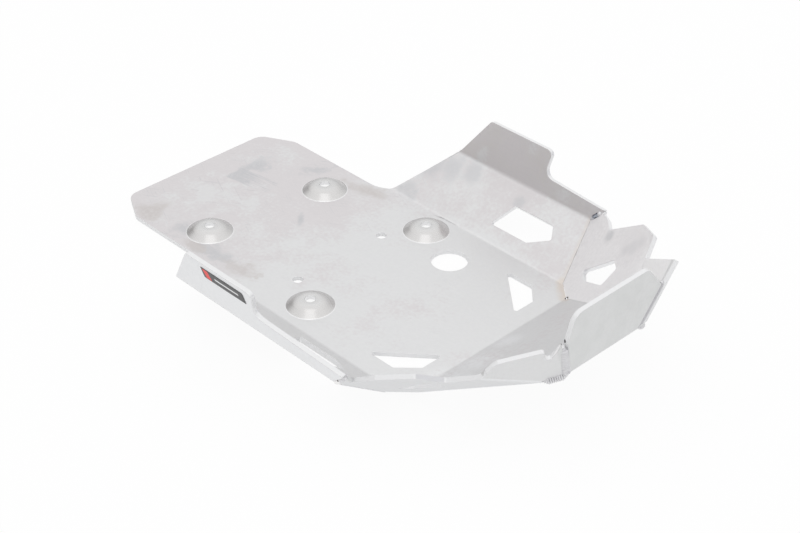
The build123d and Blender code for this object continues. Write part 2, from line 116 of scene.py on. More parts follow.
# Smudges on the left side and corner, lighter spots on the left flange, and places on the ramp with
# painted light: centre and radius in mm
SMUDGES = [
    ((-34, 104, 8), 11),
    ((-24, 126, 24), 18),
    ((-6, 132, 28), 17),
    ((12, 135, 31), 15),
    ((72, 134, 29), 9),
    ((176.6, 125.2, 48.3), 8),
]
FAINT_SMUDGES = [((206, 109, 57), 7), ((213, 110, 63), 9), ((218, 112, 69), 7)]
FLANGE_SPOTS = [((15, 148, 45), 9), ((67, 154, 74), 8), ((107, 148, 45), 9)]
RAMP_PAINTED_LIGHT_PLACES = [((181, -66, 10), 26), ((186, -34, 12), 24), ((181, 4, 10), 16)]
# Seams that are closed from the outside, as they run on the inner side, in mm: up the side, along the floor
LEFT_SEAMS = [
    ((154.2, 98.0, 4.0), (140.0, 146.2, 38.4)),
    ((170.3, 84.2, 4.0), (154.2, 98.0, 4.0)),
]
RIGHT_SEAMS = [
    ((151.6, -98.0, 4.0), (151.5, -146.2, 38.4)),
    ((170.3, -79.5, 4.0), (151.6, -98.0, 4.0)),
]
# The root of the left front weld, deep between cheek and nose, where shade is painted on, in mm
ROOT_RUN = ((276.9, 36.5, 58.7), (278.9, 55.8, 87.5))
# Relief holes at the ends of the seams, with shade painted into them, in mm
RELIEF_HOLES = [(170.3, 84.2, 4.0), (170.3, -79.5, 4.0), (278.1, -49.2, 89.2)]
RELIEF_REACH = 3 * MM
# Ways that panels face: the corners' inner faces, painted lighter and made more matt, the flanges' inner
# faces, with a brown tint and painted shade, the right side's inner face, painted lighter, the flanges' and
# corners' outer faces, painted lighter, and the steep edge of the right corner, with painted shade
LIT_CORNER_WAYS = [(-0.603, -0.592, 0.534), (-0.669, 0.561, 0.486)]
FLANGE_INNER_WAYS = [(0, -0.978, 0.210), (0, 0.978, 0.210)]
SIDE_INNER_WAYS = [(0, 0.581, 0.814)]
OUTER_WAYS = [(0, -0.978, -0.210), (0, 0.978, -0.210), (0.580, -0.535, -0.600), (0.520, 0.565, -0.640)]
SHADED_EDGE_WAYS = [(0.864, 0.229, 0.448)]

# Grain of the skin: cycles per metre and detail of its clouds, blotches, flecks and specks
SKIN_GRAIN = [(16, 5), (70, 4), (320, 3), (1400, 2)]
# Lines drawn out along one way: cycles per metre along the three axes
ROLLING_STREAKS = (40, 700, 700)
HATCHING = (30, 1000, 30)
SCRATCH_LINES = (24, 1000, 24)
CUT_RIBS = (900, 900, 60)
# Where each finish fades out and where it is full: first in shares, then in places and distances
FACING_FADE = (0.92, 0.965)
RUB_FADE = (1.35, 0.3)
SCUFF_FADE = (1.08, 0.92)
SMUDGE_FADE = (1.1, 0.2)
MOTTLE_FADE = (0.58, 0.86)
STAIN_FADE = (0.96, 1.28)
HATCH_FADE = (0.42, 0.68)
SCRATCH_FADE = (0.62, 0.72)
SCRATCHED_FADE = (0.5, 0.6)
UNEVEN_FADE = (0.35, 0.65)
LOOKING_DOWN_FADE = (-0.05, -0.3)
DISH_FADE = (DISH_RADIUS + 0.3 * MM, DISH_RADIUS - 0.3 * MM)
PRESSED_FADE = (SHOULDER_START, 2 * SHOULDER_START)
FOOT_FADE = (0.8 * MM, 0.2 * MM)
BOLT_HOLE_FADE = (1.2 * BOLT_RIM, BOLT_RIM)
TAIL_FADE = (30 * MM, -100 * MM)
LEFT_FADE = (90 * MM, 110 * MM)
UPPER_FACE_FADE = (0.3 * SHEET, 0.6 * SHEET)
HATCH_REACH = (8 * MM, -12 * MM)
SIDE_HEAT_FADE = (4.5 * MM, 0.8 * MM)
FLOOR_HEAT_FADE = (9 * MM, 1 * MM)
CHEEK_FADE = (225 * MM, 245 * MM)
NOSE_FADE = (277.5 * MM, 278.5 * MM)
ROOT_EDGE_FADE = (4 * MM, 3 * MM)
RELIEF_FADE = (RELIEF_REACH, 0.7 * RELIEF_REACH)
# Level of the noise that frays the edges of rubs and smudges
FRAYED_LEVEL = -2.5
SKIN_ROUGHNESS = 0.44
CUT_ROUGHNESS = 0.55
CUT_METALLIC = 0.15


def feed(tree, socket, value):
    """Sets an input to a value, or links another node's output to it."""
    if isinstance(value, bpy.types.NodeSocket):
        tree.links.new(value, socket)
    else:
        socket.default_value = value


def add(tree, kind, inputs=None, **settings):
    """New node of a tree, its inputs set to values or linked to other nodes' outputs."""
    node = tree.nodes.new(kind)
    for name, setting in settings.items():
        setattr(node, name, setting)
    for name, value in (inputs or {}).items():
        feed(tree, node.inputs[name], value)
    return node


def calc(tree, operation, first, second=0.0, third=0.0):
    """Result of one operation on numbers."""
    values = {0: first, 1: second, 2: third}
    return add(tree, "ShaderNodeMath", values, operation=operation).outputs[0]


def reckon(tree, operation, first, second=(0, 0, 0), result="Vector"):
    """Result of one operation on places or directions."""
    values = {0: first, 1: second}
    return add(tree, "ShaderNodeVectorMath", values, operation=operation).outputs[result]


def axes(tree, place):
    """The X, Y and Z of a place."""
    return add(tree, "ShaderNodeSeparateXYZ", {0: place}).outputs


def distance(tree, place, point):
    return reckon(tree, "DISTANCE", place, point, "Value")


def combined(tree, operation, values):
    total = values[0]
    for value in values[1:]:
        total = calc(tree, operation, total, value)
    return total


def strongest(tree, *masks):
    return combined(tree, "MAXIMUM", masks)


def both(tree, *masks):
    return combined(tree, "MULTIPLY", masks)


def weigh(tree, base, *shares):
    """A base value with masks added to it, each times its own weight."""
    total = base
    for mask, weight in shares:
        total = calc(tree, "MULTIPLY_ADD", mask, weight, total)
    return total


def without(tree, mask, share=1.0):
    """Full strength outside a mask, and less by a share inside it."""
    return weigh(tree, 1.0, (mask, -share))


def rise(tree, value, low, high, to_low=0.0, to_high=1.0):
    """Smooth step from one value to another as a value passes from low to high."""
    values = {"Value": value, "From Min": low, "From Max": high, "To Min": to_low, "To Max": to_high}
    return add(tree, "ShaderNodeMapRange", values, interpolation_type="SMOOTHSTEP").outputs["Result"]


def tone(tree, factor, first, second):
    """Colour between two colours."""
    return add(tree, "ShaderNodeMix", {0: factor, 6: first, 7: second}, data_type="RGBA").outputs[2]


def noise(tree, place, scale, detail):
    """Noise of a scale in cycles per metre."""
    values = {"Vector": place, "Scale": scale, "Detail": detail}
    return add(tree, "ShaderNodeTexNoise", values).outputs["Fac"]


def lined_noise(tree, place, cycles, detail):
    """Noise with its own cycles per metre along each axis, which draws it out into lines."""
    stretched = add(tree, "ShaderNodeMapping", {"Vector": place, "Scale": cycles}).outputs[0]
    return noise(tree, stretched, 1.0, detail)


def new_material(name):
    """New material with its node tree, its shader and the place on the piece."""
    material = bpy.data.materials.new(name)
    material.use_nodes = True
    tree = material.node_tree
    shader = tree.nodes["Principled BSDF"]
    place = add(tree, "ShaderNodeTexCoord").outputs["Object"]
    return material, tree, shader, place


def roughen(tree, shader, height, strength, depth):
    """Fine relief on a surface."""
    bump = add(tree, "ShaderNodeBump", {"Strength": strength, "Distance": depth, "Height": height})
    feed(tree, shader.inputs["Normal"], bump.outputs[0])


def on_patch(tree, place, centre, turn):
    """Place measured from a patch's centre on the upper face of the floor, along its length and width."""
    offset = reckon(tree, "SUBTRACT", place, (centre[0] * MM, centre[1] * MM, PATCH_LEVEL))
    values = {"Vector": offset, "Angle": -math.radians(turn)}
    return add(tree, "ShaderNodeVectorRotate", values, rotation_type="Z_AXIS").outputs[0]


def rubbed_place(tree, place, ragged, centre, half, turn):
    """Full on a rubbed place, fading out at a ragged round edge."""
    size = (half[0] * MM, half[1] * MM, PATCH_HALF_HEIGHT)
    scaled = reckon(tree, "DIVIDE", on_patch(tree, place, centre, turn), size)
    far = reckon(tree, "LENGTH", scaled, result="Value")
    return rise(tree, calc(tree, "ADD", far, ragged), *RUB_FADE)


def rubbed_places(tree, place, ragged, rubs):
    return strongest(tree, *[rubbed_place(tree, place, ragged, *rub) for rub in rubs])


def scuffed_patch(tree, place, ragged, centre, half, turn):
    """Full on an oblong patch scuffed by fine parallel lines, closest at its rear end."""
    size = (half[0] * MM, half[1] * MM, PATCH_HALF_HEIGHT)
    local = on_patch(tree, place, centre, turn)
    scaled = axes(tree, reckon(tree, "DIVIDE", local, size))
    far = strongest(tree, *[calc(tree, "ABSOLUTE", scaled[axis]) for axis in "XYZ"])
    patch = rise(tree, weigh(tree, far, (ragged, 0.12)), *SCUFF_FADE)
    closer = rise(tree, axes(tree, local)["X"], *HATCH_REACH, to_low=-0.02, to_high=0.25)
    hatch = calc(tree, "ADD", lined_noise(tree, local, HATCHING, detail=2), closer)
    return both(tree, patch, rise(tree, hatch, *HATCH_FADE))


def smudged(tree, place, ragged, smudges):
    """Full in the middle of each smudge, fading out at a ragged edge."""
    masks = []
    for centre, radius in smudges:
        far = calc(tree, "DIVIDE", distance(tree, place, Vector(centre) * MM), radius * MM)
        masks.append(rise(tree, weigh(tree, far, (ragged, 0.5)), *SMUDGE_FADE))
    return strongest(tree, *masks)


def scratches(tree, place, turn):
    """Fine lines in one direction."""
    values = {"Vector": place, "Angle": math.radians(turn)}
    turned = add(tree, "ShaderNodeVectorRotate", values, rotation_type="Z_AXIS").outputs[0]
    return rise(tree, lined_noise(tree, turned, SCRATCH_LINES, detail=1), *SCRATCH_FADE)


def seam_distance(tree, place, start, end):
    """Distance from the straight line between two points in mm."""
    first = Vector(start) * MM
    along = Vector(end) * MM - first
    from_start = reckon(tree, "SUBTRACT", place, first)
    share = reckon(tree, "DOT_PRODUCT", from_start, along / along.length_squared, "Value")
    share = add(tree, "ShaderNodeClamp", {"Value": share}).outputs[0]
    reach = add(tree, "ShaderNodeVectorMath", {0: along, "Scale": share}, operation="SCALE").outputs[0]
    return distance(tree, from_start, reach)


def facing(tree, ways):
    """Full where a face looks one of these ways."""
    normal = add(tree, "ShaderNodeTexCoord").outputs["Normal"]
    turns = [reckon(tree, "DOT_PRODUCT", normal, way, "Value") for way in ways]
    return strongest(tree, *[rise(tree, turn, *FACING_FADE) for turn in turns])


def dish_distance(tree, place):
    """Distance from the axis of the nearest dish."""
    level = reckon(tree, "MULTIPLY", place, (1, 1, 0))
    return combined(tree, "MINIMUM", [distance(tree, level, (x, y, 0)) for x, y, z in BOLTS])


def weld_heat(tree, place, ragged):
    """Full where the skin along the left seams was tanned by the welding."""
    side, floor = [seam_distance(tree, place, *seam) for seam in LEFT_SEAMS]
    side = rise(tree, weigh(tree, side, (ragged, 0.8 * MM)), *SIDE_HEAT_FADE)
    floor = rise(tree, weigh(tree, floor, (ragged, 2 * MM)), *FLOOR_HEAT_FADE)
    return strongest(tree, both(tree, side, 0.4), floor)


def rolled_skin():
    """Dull rolled aluminium, pinker where it is stained, greyer where it is rubbed."""
    material, tree, shader, place = new_material("rolled_aluminium")
    at = axes(tree, place)
    clouds, blotches, flecks, specks = [noise(tree, place, *grain) for grain in SKIN_GRAIN]
    streaks = lined_noise(tree, place, ROLLING_STREAKS, detail=3)
    mottled = rise(tree, weigh(tree, flecks, (specks, 0.5)), *MOTTLE_FADE)
    ragged = weigh(tree, FRAYED_LEVEL, (blotches, 3.2), (flecks, 1.8))

    far = dish_distance(tree, place)
    dish = rise(tree, far, *DISH_FADE)
    dish_foot_highlight = rise(tree, calc(tree, "ABSOLUTE", calc(tree, "SUBTRACT", far, DISH_RADIUS)), *FOOT_FADE)
    dish_slope = rise(tree, weigh(tree, far, (ragged, 0.6 * MM)), *PRESSED_FADE)
    plain = without(tree, dish)

    # Tones of whole panels: painted light and shade by the way they face, a brown tint on the flanges' inner
    # faces, and a darker nose, mottled grey and partly painted shade
    outer = facing(tree, OUTER_WAYS)
    lit_matt_corners = both(tree, facing(tree, LIT_CORNER_WAYS), plain)
    spots = smudged(tree, place, ragged, FLANGE_SPOTS)
    flange_brown_and_shade = both(tree, facing(tree, FLANGE_INNER_WAYS), without(tree, spots, 0.8),
                   rise(tree, clouds, *UNEVEN_FADE, to_low=1.0, to_high=0.7))
    nose = both(tree, rise(tree, at["X"], *NOSE_FADE),
                rise(tree, blotches, *UNEVEN_FADE, to_low=0.6, to_high=1.0))

    # Stains, most on the tail and the left side, and not where the skin was wiped nor on the corners' inner
    # faces painted lighter
    tail = rise(tree, at["X"], *TAIL_FADE)
    left = rise(tree, at["Y"], *LEFT_FADE)
    handled = strongest(tree, tail, both(tree, left, 0.7))
    stain = rise(tree, weigh(tree, clouds, (handled, 0.36), (blotches, 0.35), (flecks, 0.5)), *STAIN_FADE)
    wiped = rubbed_place(tree, place, ragged, *CLEAN_PATCH)
    stain = both(tree, stain, plain, without(tree, wiped, 0.8), without(tree, outer),
                 without(tree, lit_matt_corners, 0.7))

    # Rubs and scratches, on the upper face alone
    on_top = rise(tree, at["Z"], *UPPER_FACE_FADE)
    patchy = both(tree, weigh(tree, 0.7, (mottled, 0.3)), on_top)
    grey = both(tree, rubbed_places(tree, place, ragged, GREY_RUBS), patchy, plain)
    brown = both(tree, rubbed_places(tree, place, ragged, BROWN_RUBS), patchy, plain)
    scuffed = both(tree, scuffed_patch(tree, place, ragged, *SCUFFED_PATCH), patchy)
    lines = strongest(tree, *[scratches(tree, place, turn) for turn in SCRATCH_TURNS])
    lines = both(tree, lines, rise(tree, blotches, *SCRATCHED_FADE), plain, on_top,
                 weigh(tree, 0.1, (tail, 0.5)))
    smudge = strongest(tree, both(tree, smudged(tree, place, ragged, SMUDGES), 0.7),
                       both(tree, smudged(tree, place, ragged, FAINT_SMUDGES), 0.3))
    heat = both(tree, weld_heat(tree, place, ragged), without(tree, lit_matt_corners))

    # Layers over the clean skin: where, how strong, and of which colour
    colour = CLEAN_SKIN
    for mask, strength, over in (
        # Painted light on the corners' inner faces, lighter still towards the cheeks at the front
        (lit_matt_corners, 0.9, tone(tree, rise(tree, at["X"], *CHEEK_FADE), CORNER_PAINTED_LIGHT, CHEEK_PAINTED_LIGHT)),
        # A brown tint with painted shade on the flanges' inner faces, less on the lighter spots
        (flange_brown_and_shade, 1.0, FLANGE_BROWN_AND_SHADE),
        # Painted light on the right side's inner face
        (facing(tree, SIDE_INNER_WAYS), 1.0, SIDE_PAINTED_LIGHT),
        # Painted light on the outer faces and on places on the ramp
        (outer, 1.0, PAINTED_LIGHT_SKIN),
        (smudged(tree, place, 0.0, RAMP_PAINTED_LIGHT_PLACES), 0.8, PAINTED_LIGHT_SKIN),
        (dish, 1.0, tone(tree, dish_slope, DISH_METAL, DISH_SLOPE_METAL)),
        (stain, 0.9, PINK_STAIN),
        # Darker nose: grey mottling and painted shade
        (nose, 1.0, NOSE_GREY_AND_SHADE),
        (strongest(tree, grey, smudge), 1.0, GREY_RUB),
        (brown, 1.0, BROWN_RUB),
        (scuffed, 1.0, GREY_RUB),
        (lines, 1.0, GREY_RUB),
        (heat, 0.55, HEAT_TAN),
        (both(tree, mottled, plain), 0.08, GREY_RUB),
        # Painted highlight on the foot of each dish
        (dish_foot_highlight, 0.7, FOOT_PAINTED_HIGHLIGHT),
    ):
        colour = tone(tree, both(tree, mask, strength), colour, over)
    feed(tree, shader.inputs["Base Color"], colour)
    rough = weigh(tree, SKIN_ROUGHNESS, (streaks, 0.12), (stain, 0.06), (lit_matt_corners, 0.15), (dish, -0.24))
    feed(tree, shader.inputs["Roughness"], rough)
    feed(tree, shader.inputs["Metallic"], without(tree, lit_matt_corners, 0.75))
    height = both(tree, weigh(tree, specks, (streaks, 0.5)), plain)
    roughen(tree, shader, height, strength=0.12, depth=0.05 * MM)
    return material


def cut_edge():
    """Laser cut with fine ribs, bright in the bolt holes and where it looks down, dull elsewhere, with
    painted shade on the steep edge of the right corner, along the weld root and in the relief holes.
    """
    material, tree, shader, place = new_material("laser_cut_edge")
    ribs = lined_noise(tree, place, CUT_RIBS, detail=2)
    colour = tone(tree, both(tree, ribs, 0.5), CUT_METAL, CLEAN_SKIN)
    # Painted shade on the steep edge of the right corner
    colour = tone(tree, facing(tree, SHADED_EDGE_WAYS), colour, CUT_PAINTED_SHADE)
    # Painted shade along the root of the left front weld
    root = rise(tree, seam_distance(tree, place, *ROOT_RUN), *ROOT_EDGE_FADE)
    colour = tone(tree, root, colour, ROOT_PAINTED_SHADE)
    # Painted shade in the small relief holes
    for hole in RELIEF_HOLES:
        far = distance(tree, place, Vector(hole) * MM)
        colour = tone(tree, rise(tree, far, *RELIEF_FADE), colour, RELIEF_PAINTED_SHADE)
    feed(tree, shader.inputs["Base Color"], colour)
    in_dish = rise(tree, dish_distance(tree, place), *BOLT_HOLE_FADE)
    upwards = axes(tree, add(tree, "ShaderNodeTexCoord").outputs["Normal"])["Z"]
    bright = strongest(tree, in_dish, rise(tree, upwards, *LOOKING_DOWN_FADE))
    feed(tree, shader.inputs["Roughness"], weigh(tree, CUT_ROUGHNESS, (ribs, 0.1), (bright, -0.25)))
    feed(tree, shader.inputs["Metallic"], weigh(tree, CUT_METALLIC, (bright, 0.75)))
    roughen(tree, shader, ribs, strength=0.08, depth=0.1 * MM)
    return material


def link(name, data):
    piece = bpy.data.objects.new(name, data)
    bpy.context.scene.collection.objects.link(piece)
    return piece


def plain_mesh(piece):
    """What a piece's modifiers make of it, as a mesh of its own."""
    bpy.context.view_layer.update()
    depsgraph = bpy.context.evaluated_depsgraph_get()
    return bpy.data.meshes.new_from_object(piece.evaluated_get(depsgraph), depsgraph=depsgraph)


MERGE_GAP = 0.001 * MM
JUST_INSIDE = 0.01 * MM
THIN_SHEET = 0.6 * SHEET
THICK_SHEET = 1.5 * SHEET
SEAM_REACH = 0.5 * SHEET
SKIN, CUT = 0, 1
shape = bmesh.new()
shape.from_mesh(frame["nodes"]["skid_plate"].data)
bmesh.ops.remove_doubles(shape, verts=shape.verts, dist=MERGE_GAP)
solid = BVHTree.FromBMesh(shape)
# A face belongs to the skin where the metal behind it is about as deep as the sheet is thick.
for face in shape.faces:
    centre = face.calc_center_median()
    place, normal, index, depth = solid.ray_cast(centre - face.normal * JUST_INSIDE, -face.normal)
    face.material_index = SKIN if place and THIN_SHEET < depth < THICK_SHEET else CUT
bmesh.ops.dissolve_limit(shape, angle_limit=FLAT_TURN, verts=shape.verts, edges=shape.edges,
                         delimit={"MATERIAL"})


def at_seam(edge):
    """Whether an edge lies along a closed seam, where the cut edges stay sharp."""
    middle = (edge.verts[0].co + edge.verts[1].co) / 2
    for start, end in LEFT_SEAMS + RIGHT_SEAMS:
        first, last = Vector(start) * MM, Vector(end) * MM
        share = (middle - first).dot(last - first) / (last - first).length_squared
        if (first.lerp(last, min(max(share, 0), 1)) - middle).length < SEAM_REACH:
            return True
    return False


corners = [e for e in shape.edges if e.is_manifold and e.calc_face_angle(0) > SHARP_TURN]
for edge in corners:
    edge.smooth = not at_seam(edge)
corners = [e for e in corners if e.smooth]
bmesh.ops.bevel(shape, geom=corners, offset=EDGE_ROUND, offset_type="OFFSET", segments=2, profile=0.5,
                affect="EDGES", clamp_overlap=False, material=-1)
for face in shape.faces:
    face.smooth = True
# The rounding of thin edges on the underside stays flush with it.
for vert in shape.verts:
    vert.co.z = max(vert.co.z, 0)
plate_mesh = bpy.data.meshes.new("plate_sheet")
shape.to_mesh(plate_mesh)
shape.free()
plate_mesh.materials.append(rolled_skin())
plate_mesh.materials.append(cut_edge())
plate = link("plate_sheet", plate_mesh)
flat_faces = plate.modifiers.new("flat_faces", "WEIGHTED_NORMAL")
flat_faces.weight = 100
flat_faces.keep_sharp = True
plate.data = plain_mesh(plate)
plate.modifiers.clear()


def dish_tilt(far):
    """How far a dish's upper face is tilted at a distance from its axis."""
    shoulder = math.asin(min(max((far - SHOULDER_START) / SHOULDER_RADIUS, 0), 1))
    foot = math.asin(min(max((FOOT_END - far) / FOOT_RADIUS, 0), 1))
    return min(shoulder, DISH_SLOPE, foot)


# The dishes are shaded as true turned faces, so that the light on them is not broken up by their facets.
normals = [Vector(corner.vector) for corner in plate.data.corner_normals]
for corner in plate.data.loops:
    x, y, z = plate.data.vertices[corner.vertex_index].co
    on_upper_face = z > 0.9 * SHEET and normals[corner.index].z > 0.5
    for bolt_x, bolt_y, bolt_z in BOLTS:
        outwards = Vector((x - bolt_x, y - bolt_y, 0))
        if on_upper_face and BOLT_RIM < outwards.length < FOOT_END:
            tilt = dish_tilt(outwards.length)
            normals[corner.index] = outwards.normalized() * math.sin(tilt) + Vector((0, 0, math.cos(tilt)))
plate.data.normals_split_custom_set(normals)
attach(plate, "root")
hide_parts("skid_plate")

# The weld beads. Hand-laid runs that close the open seams on the outside, with a short run inside the
# end of each flange. The metal has frozen in overlapping ripples and is brighter than the skin.
WELD_METAL = (0.780, 0.778, 0.790, 1)
# Darker weld metal, for soot and for painted shade in the grooves of the ripples
WELD_SOOT_AND_GROOVE_SHADE = (0.580, 0.570, 0.595, 1)
# The short run inside the left flange is blue-black, blackest in patches
BLUE_BEAD = (0.400, 0.425, 0.475, 1)
BLACK_BEAD = (0.060, 0.066, 0.092, 1)
BLUE_BLACK_PLACE = (144.5, 147.2, 43.0)
BLUE_BLACK_FADE = (8 * MM, 5 * MM)
# The foot of the run inside the right flange is spattered and pitted
PITTED_PLACE = (153, -148, 39)
PITTED_FADE = (9 * MM, 6 * MM)
SPATTER_WHITE = (0.960, 0.955, 0.950, 1)
PIT_BLACK = (0.040, 0.035, 0.030, 1)
# Grain of the beads: cycles per metre and detail
WELD_SOOT = (260, 4)
WELD_GRAIN = (1500, 2)
BLUE_BLACK_GRAIN = (420, 2)
SPATTER_GRAIN = (380, 1)
SOOT_FADE = (0.5, 0.8)
BLACKEST_FADE = (0.42, 0.56)
PIT_FADE = (0.62, 0.66)
ROOT_BEAD_FADE = (3 * MM, 2.2 * MM)
WELD_ROUGHNESS = 0.3
# Ripples of a bead, as a length and as a share of its radius, and how finely it is made
RIPPLE_PITCH = 1.7 * MM
RIPPLE_DEPTH = 0.3
RIPPLE_WANDER = 300.0
STEPS_PER_RIPPLE = 7.0
BEAD_SIDES = 18
END_SHARE = 0.45
CORNER_ROUND = 3 * MM
CORNER_STEPS = 8
# Runs of each weld in mm: bead radius and the points that its centre line passes
WELDS = {
    "side_weld_left": [
        (2.0, [(155.1, 98.8, 1.5), (140.5, 148.4, 36.9), (151.4, 150.8, 48.1)]),
        (2.3, [(140.0, 146.2, 38.4), (149.5, 148.3, 48.1)]),
    ],
    "side_weld_right": [
        (2.0, [(152.3, -98.8, 1.5), (152.2, -148.4, 36.9), (165.5, -150.8, 48.1)]),
        (2.3, [(151.5, -146.2, 38.4), (163.1, -148.3, 48.1)]),
    ],
    "front_weld_left": [
        (3.5, [(255.2, 59.0, 44.8), (278.7, 40.3, 57.0)]),
        (1.7, ROOT_RUN),
        (2.3, [(279.6, 56.6, 87.4), (280.6, 58.4, 89.6)]),
    ],
    "front_weld_right": [
        (3.5, [(268.0, -54.6, 51.5), (278.7, -42.1, 57.0)]),
        (3.6, [(278.4, -42.5, 57.0), (278.9, -49.1, 85.2)]),
    ],
}


def weld_finish():
    """Bright weld metal with soot, painted shade in the grooves of its ripples and along the root of the left
    front weld, blue-black at one end and pitted at another.
    """
    material, tree, shader, place = new_material("weld_metal")
    soot = noise(tree, place, *WELD_SOOT)
    ripple = add(tree, "ShaderNodeAttribute", attribute_name="ripple").outputs["Fac"]
    # Soot, and painted shade in the grooves of the ripples
    soot_and_groove_shade = strongest(tree, rise(tree, soot, *SOOT_FADE), both(tree, ripple, 0.8))
    colour = tone(tree, soot_and_groove_shade, WELD_METAL, WELD_SOOT_AND_GROOVE_SHADE)
    # Painted shade along the root of the left front weld
    root = rise(tree, seam_distance(tree, place, *ROOT_RUN), *ROOT_BEAD_FADE)
    colour = tone(tree, root, colour, ROOT_PAINTED_SHADE)
    blue_black = weigh(tree, distance(tree, place, Vector(BLUE_BLACK_PLACE) * MM), (soot, 5 * MM))
    blue_black = rise(tree, blue_black, *BLUE_BLACK_FADE)
    blackest = rise(tree, noise(tree, place, *BLUE_BLACK_GRAIN), *BLACKEST_FADE)
    colour = tone(tree, blue_black, colour, tone(tree, blackest, BLUE_BEAD, BLACK_BEAD))
    pitted = rise(tree, distance(tree, place, Vector(PITTED_PLACE) * MM), *PITTED_FADE)
    pits = rise(tree, noise(tree, place, *SPATTER_GRAIN), *PIT_FADE)
    colour = tone(tree, pitted, colour, tone(tree, pits, SPATTER_WHITE, PIT_BLACK))
    feed(tree, shader.inputs["Base Color"], colour)
    feed(tree, shader.inputs["Roughness"], weigh(tree, WELD_ROUGHNESS, (soot, 0.3), (blue_black, -0.2)))
    shader.inputs["Metallic"].default_value = 1.0
    roughen(tree, shader, noise(tree, place, *WELD_GRAIN), strength=0.15, depth=0.1 * MM)
    return material


def bead_tree():
    """Sweeps a round bead along a line, with ripples along it and run-outs at its ends."""
    tree = bpy.data.node_groups.new("weld_bead", "GeometryNodeTree")
    tree.interface.new_socket("Line", in_out="INPUT", socket_type="NodeSocketGeometry")
    for name in ("Radius", "Ripple Pitch", "Ripple Depth", "Corner Round"):
        tree.interface.new_socket(name, in_out="INPUT", socket_type="NodeSocketFloat")
    tree.interface.new_socket("Metal", in_out="INPUT", socket_type="NodeSocketMaterial")
    tree.interface.new_socket("Bead", in_out="OUTPUT", socket_type="NodeSocketGeometry")
    given = add(tree, "NodeGroupInput").outputs

    values = {"Curve": given["Line"], "Radius": given["Corner Round"], "Count": CORNER_STEPS,
              "Limit Radius": True}
    rounded = add(tree, "GeometryNodeFilletCurve", values, mode="POLY")
    step = calc(tree, "DIVIDE", given["Ripple Pitch"], STEPS_PER_RIPPLE)
    values = {"Curve": rounded.outputs[0], "Length": step}
    dense = add(tree, "GeometryNodeResampleCurve", values, mode="LENGTH")

    # The ripples follow each other at an uneven pitch, and the bead is thin where it starts and ends
    run = add(tree, "GeometryNodeSplineParameter").outputs["Length"]
    total = add(tree, "GeometryNodeSplineLength").outputs["Length"]
    wander = add(tree, "ShaderNodeTexNoise", {"Scale": RIPPLE_WANDER, "Detail": 2.0}).outputs["Fac"]
    count = weigh(tree, calc(tree, "DIVIDE", run, given["Ripple Pitch"]), (wander, 0.5))
    ripple = calc(tree, "POWER", calc(tree, "FRACT", count), 2.0)
    groove = calc(tree, "MULTIPLY", ripple, given["Ripple Depth"])
    from_end = calc(tree, "MINIMUM", run, calc(tree, "SUBTRACT", total, run))
    run_out = rise(tree, from_end, 0.0, given["Radius"], to_low=END_SHARE)
    width = both(tree, without(tree, groove), weigh(tree, 0.94, (wander, 0.1)), run_out)

    values = {"Geometry": dense.outputs[0], "Name": "ripple", "Value": ripple}
    marked = add(tree, "GeometryNodeStoreNamedAttribute", values, data_type="FLOAT", domain="POINT")
    values = {"Radius": given["Radius"], "Resolution": BEAD_SIDES}
    ring = add(tree, "GeometryNodeCurvePrimitiveCircle", values, mode="RADIUS")
    values = {"Curve": marked.outputs[0], "Profile Curve": ring.outputs[0], "Scale": width, "Fill Caps": True}
    tube = add(tree, "GeometryNodeCurveToMesh", values)
    smooth = add(tree, "GeometryNodeSetShadeSmooth", {"Geometry": tube.outputs[0]})
    real = add(tree, "GeometryNodeRealizeInstances", {"Geometry": smooth.outputs[0]})
    done = add(tree, "GeometryNodeSetMaterial", {"Geometry": real.outputs[0], "Material": given["Metal"]})
    add(tree, "NodeGroupOutput", {"Bead": done.outputs[0]})
    return tree


def bead_mesh(name, radius, points):
    """One run of weld along its points."""
    line = bpy.data.curves.new(name, "CURVE")
    line.dimensions = "3D"
    spline = line.splines.new("POLY")
    spline.points.add(len(points) - 1)
    for point, place in zip(spline.points, points):
        point.co = (*(Vector(place) * MM), 1)
    run = link(name, line)
    bead = run.modifiers.new("bead", "NODES")
    bead.node_group = weld_bead
    sizes = {"Radius": radius * MM, "Ripple Pitch": RIPPLE_PITCH, "Ripple Depth": RIPPLE_DEPTH,
             "Corner Round": CORNER_ROUND, "Metal": weld_metal}
    for item in weld_bead.interface.items_tree:
        if item.name in sizes:
            bead[item.identifier] = sizes[item.name]
    mesh = plain_mesh(run)
    bpy.data.objects.remove(run)
    return mesh


weld_metal = weld_finish()
weld_bead = bead_tree()
for node, runs in WELDS.items():
    shape = bmesh.new()
    for number, (radius, points) in enumerate(runs):
        shape.from_mesh(bead_mesh(f"{node}_run_{number}", radius, points))
    # The low end of a bead is ground flush with the underside of the plate.
    whole = shape.verts[:] + shape.edges[:] + shape.faces[:]
    bmesh.ops.bisect_plane(shape, geom=whole, plane_co=(0, 0, 0), plane_no=(0, 0, -1), clear_outer=True)
    bmesh.ops.holes_fill(shape, edges=[e for e in shape.edges if e.is_boundary])
    beads = bpy.data.meshes.new(node + "_beads")
    shape.to_mesh(beads)
    shape.free()
    beads.materials.append(weld_metal)
    weld = link(node + "_beads", beads)
    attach(weld, "root")
    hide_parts(node)

